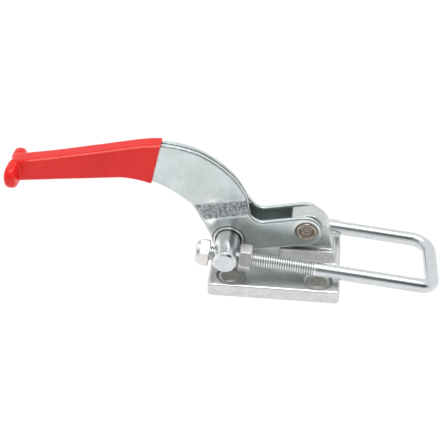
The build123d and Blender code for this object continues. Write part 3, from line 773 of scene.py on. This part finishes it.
def make_bush(side):
    name = "near" if side < 0 else "far"
    f = 0.30
    inner, out = ARM_OUT - 3.0, ARM_OUT + FLANGE_T
    prof = [(BUSH_IN + 0.25, inner + 0.02), (BUSH_OUT - 0.1, inner + 0.02), (BUSH_OUT - 0.02, inner + 0.15),
            (BUSH_OUT - 0.02, ARM_OUT - 0.02), (BUSH_OUT + 0.2, ARM_OUT + 0.01), (FLANGE_R - 0.15, ARM_OUT + 0.01)]
    prof += arc(FLANGE_R - f, out - f, f, -20, 90, 7)
    prof += [(7.2, out + 0.005), (BUSH_IN + 0.30, out)]
    prof += arc(BUSH_IN + 0.28, out - 0.28, 0.28, 100, 180, 5)
    prof += [(BUSH_IN, ARM_OUT - 1.0), (BUSH_IN, inner + 0.3)]
    prof.append(prof[0])
    prof = [(r, side * y) for r, y in prof]
    obj = lathe_y("shaft_bush_%s_flanged" % name, SHAFT, prof, 96)
    return finish_piece(obj, "handle", "bush_steel", "shaft_bush_" + name)


# ------------------------------------------------------------------ U-bolt
def thread_radius(u):
    """Radius of an M8 thread at phase u of one pitch, crest and root rounded."""
    u = u % 1.0
    d = min(u, 1 - u)              # 0 at the crest's middle, 0.5 at the root's
    flat, root = 0.085, 0.40
    if d <= flat:
        return THREAD_R - 0.02 * (d / flat) ** 2
    if d >= root:
        return THREAD_ROOT_R + 0.03 * ((0.5 - d) / (0.5 - root)) ** 2
    t = (d - flat) / (root - flat)
    return (THREAD_R - 0.02) + (THREAD_ROOT_R + 0.03 - THREAD_R + 0.02) * t


def make_u_bolt():
    verts, faces = [], []
    n = 48
    table = [thread_radius(i / 600.0) for i in range(600)]

    def ring(o, u, v, rad):
        base = len(verts)
        for k in range(n):
            a = 2 * pi * k / n
            r = rad[k] if hasattr(rad, "__len__") else rad
            verts.append(tuple(o + u * (r * cos(a)) + v * (r * sin(a))))
        return base

    def bridge(a, b):
        for k in range(n):
            k2 = (k + 1) % n
            faces.append((a + k, a + k2, b + k2, b + k))

    step = PITCH / 12
    count = int(round((THREAD_S - TAIL_S) / step))
    prev = None

    def thread_rings(y, phase, order):
        rings = []
        for i in order:
            s = TAIL_S + i * step
            o, u, v, w = leg_frame(s, y)
            fade = float(smoothstep(0.0, 1.0, np.float64((THREAD_S - s) / (1.6 * PITCH))))
            rad = []
            for k in range(n):
                ph = s / PITCH - k / n + phase
                r = table[int((ph % 1.0) * 600) % 600]
                r = BAR_R + (r - BAR_R) * fade
                r = min(r, 3.05 + (s - TAIL_S) * 0.85)
                rad.append(r)
            rings.append((o, u, v, rad))
        return rings

    # near leg from its free end
    seq = thread_rings(-LEG_Y, 0.15, range(count + 1))
    o0, u0, v0, w0 = leg_frame(TAIL_S, -LEG_Y)
    tip = len(verts)
    verts.append(tuple(o0 + w0 * 0.18))
    first = ring(o0 + w0 * 0.10, u0, v0, 2.0)
    for k in range(n):
        faces.append((tip, first + (k + 1) % n, first + k))
    last = ring(o0, u0, v0, 2.75)
    bridge(first, last)
    for o, u, v, rad in seq:
        b = ring(o, u, v, rad)
        bridge(last, b)
        last = b
    # plain bar, bends and cross bar
    e = BAR_S - BEND_NEAR
    for s in np.linspace(THREAD_S + 0.6, e, 24):
        o, u, v, w = leg_frame(s, -LEG_Y)
        b = ring(o, u, v, BAR_R)
        bridge(last, b)
        last = b
    centre, u, v, w = leg_frame(e, -LEG_Y + BEND_NEAR)
    for i in range(1, 25):
        a = radians(90 * i / 24)
        o = centre + w * (BEND_NEAR * sin(a)) - u * (BEND_NEAR * cos(a))
        across = u * cos(a) - w * sin(a)
        # the bend thins the bar a little
        b = ring(o, across, v, BAR_R * (1 - 0.012 * sin(2 * a)))
        bridge(last, b)
        last = b
    for y in np.linspace(-LEG_Y + BEND_NEAR, LEG_Y - BEND_FAR, 14)[1:]:
        o, u, v, w = leg_frame(BAR_S, y)
        b = ring(o, -w, v, BAR_R)
        bridge(last, b)
        last = b
    e = BAR_S - BEND_FAR
    centre, u, v, w = leg_frame(e, LEG_Y - BEND_FAR)
    for i in range(1, 25):
        a = radians(90 * i / 24)
        o = centre + w * (BEND_FAR * cos(a)) + u * (BEND_FAR * sin(a))
        across = -w * cos(a) - u * sin(a)
        b = ring(o, across, v, BAR_R * (1 - 0.012 * sin(2 * a)))
        bridge(last, b)
        last = b
    for s in np.linspace(e, THREAD_S + 0.6, 24)[1:]:
        o, u, v, w = leg_frame(s, LEG_Y)
        b = ring(o, -u, v, BAR_R)
        bridge(last, b)
        last = b
    seq = thread_rings(LEG_Y, 0.6, range(count, -1, -1))
    for o, u, v, rad in seq:
        b = ring(o, -u, v, rad)
        bridge(last, b)
        last = b
    o0, u0, v0, w0 = leg_frame(TAIL_S, LEG_Y)
    b = ring(o0, -u0, v0, 2.75)
    bridge(last, b)
    last = b
    b = ring(o0 + w0 * 0.10, -u0, v0, 2.0)
    bridge(last, b)
    last = b
    tip = len(verts)
    verts.append(tuple(o0 + w0 * 0.18))
    for k in range(n):
        faces.append((tip, last + k, last + (k + 1) % n))
    obj = mesh_object("u_bolt_bar", verts, faces)
    me = obj.data
    p = coords(me) / MM
    o, u, v, w = leg_frame(0, 0)
    s = (p - o) @ w
    r = np.hypot(np.abs(p[:, 1] - SIDE_FLOAT) - LEG_Y, (p - o) @ v)
    root = smoothstep(3.58, 3.34, r) * (s > TAIL_S + 1.0) * (s < THREAD_S - 0.4)
    at = me.attributes.new("root", "FLOAT", "POINT")
    at.data.foreach_set("value", root.astype(np.float32))
    # rolled threads have a softer sheen than the drawn bar
    lift = 0.85 * smoothstep(THREAD_S + 0.5, THREAD_S - 1.0, s)
    at = me.attributes.new("lift", "FLOAT", "POINT")
    at.data.foreach_set("value", lift.astype(np.float32))
    return finish_piece(obj, "u_bolt", "bright_steel", "u_bolt")


def hex_turn(node, s, y):
    """Angle of one corner of a nut about the leg's axis, from its CAD solid."""
    o, u, v, w = leg_frame(s, y)
    p = coords(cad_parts[node].data) / MM - o
    a, b = p @ u, p @ v
    r = np.hypot(a, b)
    far = r > r.max() - 0.05
    ang = np.degrees(np.arctan2(b[far], a[far]))
    z = np.exp(1j * np.radians(ang * 6)).mean()
    return degrees(atan2(z.imag, z.real)) / 6


def hex_outline(turn, corner_r=0.35):
    """Hexagon with slightly rounded corners: (x, y) points."""
    a = NUT_AF / 2
    pts = []
    for c in range(6):
        ca = turn + 60 * c
        d = (a - corner_r) / cos(radians(30))
        cx, cy = d * cos(radians(ca)), d * sin(radians(ca))
        pts += arc(cx, cy, corner_r, ca - 30, ca + 30, 4)
        nx = turn + 60 * (c + 1)
        p0 = pts[-1]
        q = arc(d * cos(radians(nx)), d * sin(radians(nx)), corner_r, nx - 30, nx + 30, 4)[0]
        for i in range(1, 8):
            t = i / 8
            pts.append((p0[0] + (q[0] - p0[0]) * t, p0[1] + (q[1] - p0[1]) * t))
    return pts


def ring_mesh(name, s0, y, rings):
    """Closed skin through rings of equal point count in a leg's frame."""
    o, u, v, w = leg_frame(s0, y)
    n = len(rings[0])
    verts = [tuple(o + u * px + v * py + w * pz) for r in rings for px, py, pz in r]
    faces = []
    m = len(rings)
    for i in range(m):
        i2 = (i + 1) % m
        for k in range(n):
            k2 = (k + 1) % n
            faces.append((i * n + k, i * n + k2, i2 * n + k2, i2 * n + k))
    return mesh_object(name, verts, faces)


def make_adjusting_nut(side):
    name = "near" if side < 0 else "far"
    y = side * LEG_Y
    turn = hex_turn("adjusting_nut_" + name, NUT_S, y)
    out = hex_outline(turn)
    rad = [hypot(*p) for p in out]
    unit = [(p[0] / r, p[1] / r) for p, r in zip(out, rad)]
    h, r0, ta = NUT_H, 6.28, tan(radians(30))

    def circle(r, z):
        return [(a * r, b * r, z) for a, b in unit]

    def edge_z(r):
        return max(0.0, r - r0) * ta

    rings = [circle(3.97, 0.5), circle(4.35, 0.0), circle(5.4, 0.0), circle(r0, 0.0)]
    rings.append([(p[0], p[1], edge_z(r)) for p, r in zip(out, rad)])
    for t in (0.25, 0.5, 0.75):
        rings.append([(p[0], p[1], h * t) for p in out])
    rings.append([(p[0], p[1], h - edge_z(r)) for p, r in zip(out, rad)])
    rings += [circle(r0, h), circle(5.4, h), circle(4.35, h), circle(3.97, h - 0.5)]
    obj = ring_mesh("adjusting_nut_%s_hex" % name, NUT_S, y, rings)
    weighted(obj, 0.14, 3, 18)
    return finish_piece(obj, "u_bolt", "nut_steel", "adjusting_nut_" + name)


def make_lock_nut(side):
    name = "near" if side < 0 else "far"
    y = side * LEG_Y
    s0 = LOCK_S - LOCK_H
    turn = hex_turn("lock_nut_" + name, s0, y)
    out = hex_outline(turn)
    rad = [hypot(*p) for p in out]
    unit = [(p[0] / r, p[1] / r) for p, r in zip(out, rad)]
    h, zc = LOCK_H, LOCK_H - LOCK_HEX_H
    ta = tan(radians(30))

    def circle(r, z):
        return [(a * r, b * r, z) for a, b in unit]

    rings = [circle(3.97, 3.0), circle(INSERT_R - 0.02, 2.75), circle(INSERT_R - 0.02, 0.75), circle(4.55, 0.62)]
    rings += [circle(4.5, 0.35), circle(4.62, 0.08), circle(4.85, 0.0)]
    rings += [circle(r, z) for r, z in arc(COLLAR_R - 1.15, 1.15, 1.15, 270, 360, 6)[1:]]
    rings += [circle(COLLAR_R, 1.55), circle(COLLAR_R + 0.06, 1.80), circle(COLLAR_R + 0.2, zc)]
    rings.append([(p[0], p[1], zc + 0.12 + max(0.0, r - 6.45) * ta) for p, r in zip(out, rad)])
    for t in (0.33, 0.66):
        rings.append([(p[0], p[1], zc + LOCK_HEX_H * t) for p in out])
    rings.append([(p[0], p[1], h - max(0.0, r - 6.28) * ta) for p, r in zip(out, rad)])
    rings += [circle(6.28, h), circle(5.4, h), circle(4.35, h), circle(3.97, h - 0.5)]
    obj = ring_mesh("lock_nut_%s_hex" % name, s0, y, rings)
    weighted(obj, 0.12, 3, 22)
    return finish_piece(obj, "u_bolt", "nut_steel", "lock_nut_" + name)


def make_insert(side):
    name = "near" if side < 0 else "far"
    y = side * LEG_Y
    s0 = LOCK_S - LOCK_H
    unit = [(cos(2 * pi * k / 72), sin(2 * pi * k / 72)) for k in range(72)]

    def circle(r, z):
        return [(a * r, b * r, z) for a, b in unit]

    a, b = 0.8, 0.7 + INSERT_H - 0.1
    rings = [circle(3.72, b - 0.3), circle(3.72, a + 0.45), circle(3.85, a + 0.18), circle(4.1, a), circle(INSERT_R - 0.25, a),
             circle(INSERT_R - 0.08, a + 0.1), circle(INSERT_R - 0.08, b - 0.1), circle(INSERT_R - 0.2, b), circle(4.0, b)]
    obj = ring_mesh("lock_insert_%s_ring" % name, s0, y, rings)
    return finish_piece(obj, "u_bolt", "nylon", "lock_insert_" + name)


# ------------------------------------------------------------------ make everything
make_base()
make_plates()
make_pivot_rivet()
make_grip()
make_shaft()
for side in (-1, 1):
    make_bush(side)
    make_adjusting_nut(side)
    make_lock_nut(side)
    make_insert(side)
make_u_bolt()
for n in ("handle_rivet_front", "handle_rivet_rear"):
    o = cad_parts[n]
    o.data.materials.clear()
    o.data.materials.append(MATS["nut_steel"])


# ------------------------------------------------------------------ floor
floor_mesh = bpy.data.meshes.new("floor")
S = 6.0
floor_mesh.from_pydata([(-S, -S, 0), (S, -S, 0), (S, S, 0), (-S, S, 0)], [], [(0, 1, 2, 3)])
floor = link(bpy.data.objects.new("floor", floor_mesh))
floor.location.z = -0.0001
fm = bpy.data.materials.new("floor_white")
fm.use_nodes = True
ft = fm.node_tree
ft.nodes.clear()
fo = ft.nodes.new("ShaderNodeOutputMaterial")
fx = ft.nodes.new("ShaderNodeMixShader")
fd = ft.nodes.new("ShaderNodeBsdfDiffuse")
fe = ft.nodes.new("ShaderNodeEmission")
fd.inputs[0].default_value = (0.92, 0.92, 0.92, 1)
fe.inputs[0].default_value = (1, 1, 1, 1)
fe.inputs[1].default_value = 1.06
# no light comes from the floor under the base, which covers it
ftc = ft.nodes.new("ShaderNodeTexCoord")
fsp = ft.nodes.new("ShaderNodeSeparateXYZ")
ft.links.new(ftc.outputs["Object"], fsp.inputs[0])


def floor_math(op, a, b=None):
    n = ft.nodes.new("ShaderNodeMath")
    n.operation = op
    for i, x in enumerate((a, b)):
        if x is None:
            continue
        if isinstance(x, (int, float)):
            n.inputs[i].default_value = x
        else:
            ft.links.new(x, n.inputs[i])
    return n.outputs[0]


under = floor_math("MULTIPLY", floor_math("LESS_THAN", floor_math("ABSOLUTE", fsp.outputs[0]), 0.0335),
                   floor_math("LESS_THAN", floor_math("ABSOLUTE", fsp.outputs[1]), 0.0300))
ft.links.new(floor_math("SUBTRACT", 0.88, floor_math("MULTIPLY", under, 0.62)), fx.inputs[0])
ft.links.new(fd.outputs[0], fx.inputs[1])
ft.links.new(fe.outputs[0], fx.inputs[2])
ft.links.new(fx.outputs[0], fo.inputs[0])
floor.data.materials.append(fm)


# ------------------------------------------------------------------ studio light
def make_world():
    w = bpy.data.worlds.new("studio")
    scene.world = w
    w.use_nodes = True
    t = w.node_tree
    t.nodes.clear()
    out = t.nodes.new("ShaderNodeOutputWorld")
    bg = t.nodes.new("ShaderNodeBackground")
    t.links.new(bg.outputs[0], out.inputs[0])
    tc = t.nodes.new("ShaderNodeTexCoord")
    sep = t.nodes.new("ShaderNodeSeparateXYZ")
    t.links.new(tc.outputs["Generated"], sep.inputs[0])

    def m(op, a, b=None, c=None, clamp=False):
        n = t.nodes.new("ShaderNodeMath")
        n.operation = op
        n.use_clamp = clamp
        for i, x in enumerate((a, b, c)):
            if x is None:
                continue
            if isinstance(x, (int, float)):
                n.inputs[i].default_value = x
            else:
                t.links.new(x, n.inputs[i])
        return n.outputs[0]

    def smap(v, a, b, c, d):
        n = t.nodes.new("ShaderNodeMapRange")
        n.interpolation_type = "SMOOTHSTEP"
        t.links.new(v, n.inputs[0])
        for i, x in enumerate((a, b, c, d)):
            n.inputs[i + 1].default_value = x
        return n.outputs[0]

    elev = m("MULTIPLY", m("ARCSINE", sep.outputs[2]), 180 / pi)
    az = m("MULTIPLY", m("ARCTAN2", sep.outputs[0], m("MULTIPLY", sep.outputs[1], -1.0)), 180 / pi)
    # dark room on the camera's side
    da = m("DIVIDE", m("SUBTRACT", az, WORLD["dark_az"]), WORLD["dark_w"])
    de = m("DIVIDE", m("SUBTRACT", elev, WORLD["dark_el"]), WORLD["dark_h"])
    d2 = m("ADD", m("POWER", m("ABSOLUTE", da), 4.0), m("POWER", m("ABSOLUTE", de), 4.0))
    dark = m("EXPONENT", m("MULTIPLY", d2, -1.0))
    level = m("ADD", WORLD["base"], smap(elev, WORLD["top_a"], WORLD["top_b"], 0.0, WORLD["top"]))
    level = m("SUBTRACT", level, m("MULTIPLY", dark, m("SUBTRACT", level, WORLD["dark"])))
    de = m("DIVIDE", m("SUBTRACT", elev, WORLD["core_el"]), WORLD["core_h"])
    core = m("EXPONENT", m("MULTIPLY", m("POWER", m("ABSOLUTE", de), 4.0), -1.0))
    core = m("MULTIPLY", core, smap(az, WORLD["core_a"], WORLD["core_b"], 0.0, 1.0))
    core = m("MULTIPLY", core, smap(az, WORLD["core_c"], WORLD["core_d"], 1.0, 0.0))
    level = m("SUBTRACT", level, m("MULTIPLY", core, m("SUBTRACT", level, WORLD["core"])))
    comb = t.nodes.new("ShaderNodeCombineColor")
    for i, k in enumerate((0.985, 1.0, 1.01)):
        t.links.new(m("MULTIPLY", level, k), comb.inputs[i])
    t.links.new(comb.outputs[0], bg.inputs[0])
    bg.inputs[1].default_value = 1.0


WORLD = {"base": 1.0, "top": 1.9, "top_a": 64.0, "top_b": 80.0,
         "dark": 0.33, "dark_az": -2.0, "dark_w": 52.0, "dark_el": 35.0, "dark_h": 26.0,
         "core": 0.03, "core_a": 13.5, "core_b": 20.0, "core_c": 45.0, "core_d": 60.0,
         "core_el": 36.0, "core_h": 20.0}
make_world()

lamp = bpy.data.lights.new("overhead", "AREA")
lamp.shape = "RECTANGLE"
lamp.size, lamp.size_y = 0.9, 0.6
lamp.energy = 6.0
lamp_obj = link(bpy.data.objects.new("overhead", lamp))
lamp_obj.location = (0.1, 0.15, 1.6)
lamp_obj.rotation_euler = (0, 0, 0)

# ------------------------------------------------------------------ camera
cam = bpy.data.cameras.new("camera")
cam.sensor_width = 36.0
cam.lens = 36.0 * 919.05 / 440.0
cam.clip_start, cam.clip_end = 0.01, 20
cam_obj = link(bpy.data.objects.new("camera", cam))
psi, el, rho = radians(6.727), radians(37.962), radians(-0.546)
fwd = Vector((-sin(psi) * cos(el), cos(psi) * cos(el), -sin(el)))
right = Vector((cos(psi), sin(psi), 0))
up = right.cross(fwd)
r2 = right * cos(rho) + up * sin(rho)
u2 = up * cos(rho) - right * sin(rho)
rot = Matrix((r2, u2, -fwd)).transposed()
cam_obj.matrix_world = Matrix.Translation(Vector((14.57, -386.14, 329.93)) * MM) @ rot.to_4x4()
scene.camera = cam_obj

scene.view_settings.view_transform = "Standard"
scene.view_settings.look = "None"
scene.view_settings.exposure = 0.0
scene.view_settings.gamma = 1.0
